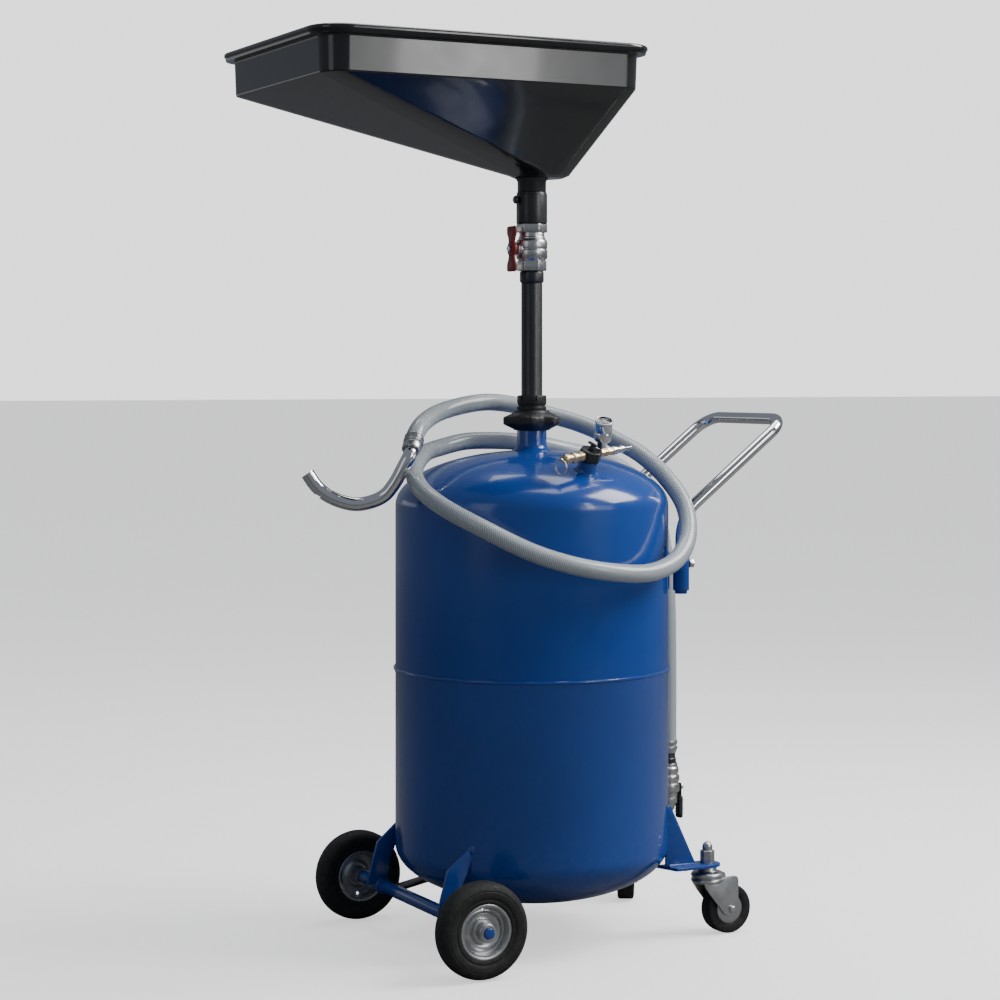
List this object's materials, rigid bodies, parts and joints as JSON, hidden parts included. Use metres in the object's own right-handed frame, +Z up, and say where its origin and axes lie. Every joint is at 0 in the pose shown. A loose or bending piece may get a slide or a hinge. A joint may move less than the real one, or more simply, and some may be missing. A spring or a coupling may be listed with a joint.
{
  "type": "oil drain pan",
  "caption": "Mobile waste-oil drainer: offset catch pan with drain valve on a telescopic post, over a wheeled upright steel tank with handle, air fittings and hose.",
  "frame": {"origin": "middle of the footprint at floor level (hose and spout not counted)", "axes": "+Z up, +X towards the handle and casters, +Y along the fixed axle, to the right of someone who pushes from the handle"},
  "size_m": [0.839, 0.4952, 1.35],
  "materials": {
    "blue_paint": "glossy blue enamel over welded steel",
    "black_paint": "satin black paint",
    "knob_plastic": "moulded black nylon",
    "pan_plastic": "glossy black moulded plastic",
    "red_plastic": "red dipped coating",
    "chrome": "bright chrome plate",
    "zinc": "zinc-plated pressed steel",
    "brass": "machined brass",
    "tyre_rubber": "matt black rubber",
    "braided_hose": "clear PVC with a woven braid",
    "gauge_glass": "clear lens"
  },
  "bodies": {
    "tank": {"tank_lower_shell": "blue_paint", "tank_upper_shell": "blue_paint", "seam_weld": "blue_paint", "neck_pipe": "blue_paint", "collet": "knob_plastic", "air_stub": "blue_paint", "air_manifold": "black_paint", "safety_valve": "brass", "inlet_tee": "brass", "air_plug": "chrome", "gauge_case": "chrome", "gauge_glass": "gauge_glass", "handle_tube": "chrome", "handle_socket_left": "blue_paint", "handle_socket_right": "blue_paint", "axle": "blue_paint", "axle_bracket_left": "blue_paint", "axle_bracket_right": "blue_paint", "axle_strut": "black_paint", "axle_washer_left": "zinc", "axle_washer_right": "zinc", "caster_bracket_left": "blue_paint", "caster_bracket_right": "blue_paint", "caster_nut_left": "zinc", "caster_nut_right": "zinc", "outlet_elbow": "zinc", "outlet_valve_body": "chrome", "hose_tail": "black_paint", "discharge_hose": "braided_hose", "pickup_spout": "chrome"},
    "locking_nut": {"locking_nut": "knob_plastic"},
    "post": {"post_tube": "black_paint", "post_bushing": "black_paint", "valve_body": "chrome", "valve_end": "chrome"},
    "valve_lever": {"valve_ball": "chrome", "valve_lever": "red_plastic", "valve_lever_nut": "zinc"},
    "pan": {"pan_collar": "black_paint", "drain_tube": "black_paint", "drain_pan": "pan_plastic", "pan_strainer": "zinc"},
    "pan_clamp_screw": {"pan_clamp_screw": "black_paint"},
    "safety_pull": {"safety_pull_ring": "zinc"},
    "gauge_needle": {"gauge_needle": "knob_plastic"},
    "shutoff_lever": {"shutoff_lever": "knob_plastic"},
    "handle_screw_left": {"handle_screw_left": "zinc"},
    "handle_screw_right": {"handle_screw_right": "zinc"},
    "outlet_lever": {"outlet_ball": "chrome", "outlet_lever": "knob_plastic"},
    "wheel_left": {"rim_left": "zinc", "tyre_left": "tyre_rubber"},
    "wheel_right": {"rim_right": "zinc", "tyre_right": "tyre_rubber"},
    "caster_fork_left": {"caster_fork_left": "zinc"},
    "caster_fork_right": {"caster_fork_right": "zinc"},
    "caster_wheel_left": {"caster_wheel_left": "tyre_rubber"},
    "caster_wheel_right": {"caster_wheel_right": "tyre_rubber"}
  },
  "joints": [
    {"name": "post_height", "type": "slide", "parent": "tank", "child": "post", "axis": [0, 0, 1], "range_m": [-0.165, 0.28]},
    {"name": "locking_nut_turn", "type": "hinge", "parent": "tank", "child": "locking_nut", "pos_m": [0.02054, 0, 0.79], "axis": [0, 0, 1], "range_deg": [-360, 360]},
    {"name": "drain_valve", "type": "hinge", "parent": "post", "child": "valve_lever", "pos_m": [0.02054, 0, 1.054], "axis": [1, 0, 0], "range_deg": [0, 90]},
    {"name": "pan_swivel", "type": "hinge", "parent": "post", "child": "pan", "pos_m": [0.02054, 0, 1.1], "axis": [0, 0, 1], "range_deg": [-180, 180]},
    {"name": "pan_clamp_turn", "type": "hinge", "parent": "pan", "child": "pan_clamp_screw", "pos_m": [-0.00346, 0, 1.1296], "axis": [1, 0, 0], "range_deg": [0, 360]},
    {"name": "safety_pull", "type": "slide", "parent": "tank", "child": "safety_pull", "axis": [-0.9507, -0.2917, -0.1053], "range_m": [0, 0.003], "stiffness_N_per_m": 4000},
    {"name": "gauge_needle_turn", "type": "hinge", "parent": "tank", "child": "gauge_needle", "pos_m": [0.04424, -0.18373, 0.78978], "axis": [-0.1584, -0.4545, 0.8766], "range_deg": [-270, 0]},
    {"name": "air_shutoff_turn", "type": "hinge", "parent": "tank", "child": "shutoff_lever", "pos_m": [0.03047, -0.17225, 0.75366], "axis": [0.0234, -0.4063, 0.9134], "range_deg": [0, 90]},
    {"name": "handle_screw_left_turn", "type": "hinge", "parent": "tank", "child": "handle_screw_left", "pos_m": [0.23254, -0.114, 0.571], "axis": [1, 0, 0], "range_deg": [0, 360]},
    {"name": "handle_screw_right_turn", "type": "hinge", "parent": "tank", "child": "handle_screw_right", "pos_m": [0.23254, 0.114, 0.571], "axis": [1, 0, 0], "range_deg": [0, 360]},
    {"name": "outlet_valve", "type": "hinge", "parent": "tank", "child": "outlet_lever", "pos_m": [0.26454, 0, 0.207], "axis": [1, 0, 0], "range_deg": [0, 90]},
    {"name": "wheel_left_spin", "type": "hinge", "parent": "tank", "child": "wheel_left", "pos_m": [-0.17546, -0.218, 0.07], "axis": [0, 1, 0], "continuous": true},
    {"name": "wheel_right_spin", "type": "hinge", "parent": "tank", "child": "wheel_right", "pos_m": [-0.17546, 0.218, 0.07], "axis": [0, 1, 0], "continuous": true},
    {"name": "caster_left_swivel", "type": "hinge", "parent": "tank", "child": "caster_fork_left", "pos_m": [0.26054, -0.124, 0.1], "axis": [0, 0, 1], "continuous": true},
    {"name": "caster_right_swivel", "type": "hinge", "parent": "tank", "child": "caster_fork_right", "pos_m": [0.26054, 0.124, 0.1], "axis": [0, 0, 1], "continuous": true},
    {"name": "caster_left_spin", "type": "hinge", "parent": "caster_fork_left", "child": "caster_wheel_left", "pos_m": [0.29404, -0.124, 0.038], "axis": [0, 1, 0], "continuous": true},
    {"name": "caster_right_spin", "type": "hinge", "parent": "caster_fork_right", "child": "caster_wheel_right", "pos_m": [0.27574, 0.15385, 0.038], "axis": [-0.891, 0.454, 0], "continuous": true}
  ]
}
